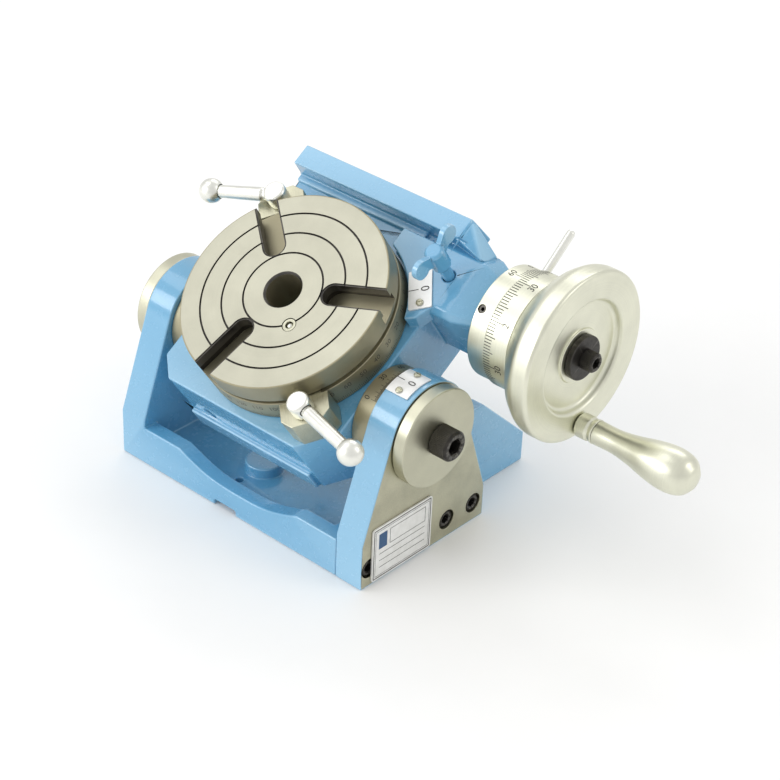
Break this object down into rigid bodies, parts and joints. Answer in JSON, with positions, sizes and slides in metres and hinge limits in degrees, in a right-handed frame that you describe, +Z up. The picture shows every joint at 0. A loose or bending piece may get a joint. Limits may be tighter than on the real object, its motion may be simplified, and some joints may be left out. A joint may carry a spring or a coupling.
{
  "type": "tilting rotary table",
  "caption": "Tilting rotary table: T-slotted round faceplate on a worm-driven cradle that swings between two uprights, with a dialled handwheel and lever clamps.",
  "frame": {"origin": "on the bench, under the trunnion axis, in the faceplate's centre plane", "axes": "+X along the trunnion axis to the handwheel, +Y to the back, +Z up"},
  "size_m": [0.3059, 0.164, 0.1598],
  "materials": {
    "blue_paint": "glossy light blue machine enamel over cast iron",
    "bracket_face": "light blue enamel, with the outer face ground bare",
    "ground_steel": "ground and turned steel with a warm grey tone",
    "satin_aluminium": "satin turned aluminium",
    "bright_steel": "polished bright steel",
    "black_oxide": "black oxide",
    "engraved_plate": "silvered plate with black filled marks",
    "gear_bronze": "machined bronze"
  },
  "bodies": {
    "base": {"base_casting": "blue_paint", "right_bracket": "bracket_face", "bracket_screw_1": "black_oxide", "bracket_screw_2": "black_oxide", "bracket_screw_3": "black_oxide", "bracket_screw_4": "black_oxide", "name_plate": "engraved_plate", "tilt_index_plate": "engraved_plate", "tilt_plate_screw_1": "ground_steel", "tilt_plate_screw_2": "ground_steel"},
    "cradle": {"cradle_casting": "blue_paint", "bottom_cover": "ground_steel", "cover_screw_1": "black_oxide", "cover_screw_2": "black_oxide", "cover_screw_3": "black_oxide", "cover_screw_4": "black_oxide", "trunnion_pin_right": "ground_steel", "trunnion_pin_left": "ground_steel", "tilt_scale_ring": "ground_steel", "spacer_ring_left": "ground_steel", "clamp_washer_right": "ground_steel", "clamp_washer_left": "ground_steel", "clamp_screw_right": "black_oxide", "clamp_screw_left": "black_oxide", "table_index_plate": "engraved_plate", "table_plate_screw_1": "ground_steel", "table_plate_screw_2": "ground_steel", "clamp_block_front": "ground_steel", "clamp_block_back": "ground_steel"},
    "faceplate": {"rotary_table": "ground_steel", "oil_cup": "ground_steel", "worm_wheel": "gear_bronze", "spindle_nut": "black_oxide"},
    "sleeve": {"worm_sleeve": "bright_steel", "sleeve_lever": "bright_steel", "sleeve_set_screw": "black_oxide"},
    "worm": {"worm_shaft": "bright_steel", "handwheel": "satin_aluminium", "hub_washer": "black_oxide", "hub_screw": "black_oxide", "handle_spindle": "bright_steel"},
    "dial": {"graduated_dial": "satin_aluminium", "dial_lock_screw": "black_oxide"},
    "grip": {"handle_grip": "satin_aluminium"},
    "front_clamp": {"clamp_stud_front": "bright_steel", "clamp_lever_front": "bright_steel", "clamp_ball_front": "bright_steel"},
    "back_clamp": {"clamp_stud_back": "bright_steel", "clamp_lever_back": "bright_steel", "clamp_ball_back": "bright_steel"},
    "wing": {"wing_screw": "blue_paint"}
  },
  "joints": [
    {"name": "cradle_tilt", "type": "hinge", "parent": "base", "child": "cradle", "pos_m": [0, 0, 0.071], "axis": [1, 0, 0], "range_deg": [-34, 56]},
    {"name": "faceplate_turn", "type": "hinge", "parent": "cradle", "child": "faceplate", "pos_m": [0, 0.01368, 0.08023], "axis": [0, -0.5592, 0.829], "continuous": true},
    {"name": "sleeve_swing", "type": "hinge", "parent": "cradle", "child": "sleeve", "pos_m": [0, 0.05371, 0.11386], "axis": [1, 0, 0], "range_deg": [0, 60]},
    {"name": "handwheel_turn", "type": "hinge", "parent": "sleeve", "child": "worm", "pos_m": [0, 0.05205, 0.11275], "axis": [1, 0, 0], "continuous": true},
    {"name": "dial_zero", "type": "hinge", "parent": "worm", "child": "dial", "pos_m": [0, 0.05205, 0.11275], "axis": [1, 0, 0], "continuous": true},
    {"name": "grip_spin", "type": "hinge", "parent": "worm", "child": "grip", "pos_m": [0, 0.05336, 0.07527], "axis": [1, 0, 0], "continuous": true},
    {"name": "front_clamp_turn", "type": "hinge", "parent": "cradle", "child": "front_clamp", "pos_m": [0.0449, -0.04032, 0.07999], "axis": [0, -0.5592, 0.829], "range_deg": [-35, 25]},
    {"name": "back_clamp_turn", "type": "hinge", "parent": "cradle", "child": "back_clamp", "pos_m": [-0.0449, 0.03413, 0.13021], "axis": [0, -0.5592, 0.829], "range_deg": [-30, 30]},
    {"name": "wing_screw_turn", "type": "hinge", "parent": "cradle", "child": "wing", "pos_m": [0.059, 0.03877, 0.13334], "axis": [0, -0.5592, 0.829], "range_deg": [0, 180]}
  ],
  "couplings": [
    {"joint": "handwheel_turn", "follows": "faceplate_turn", "ratio": 90}
  ]
}
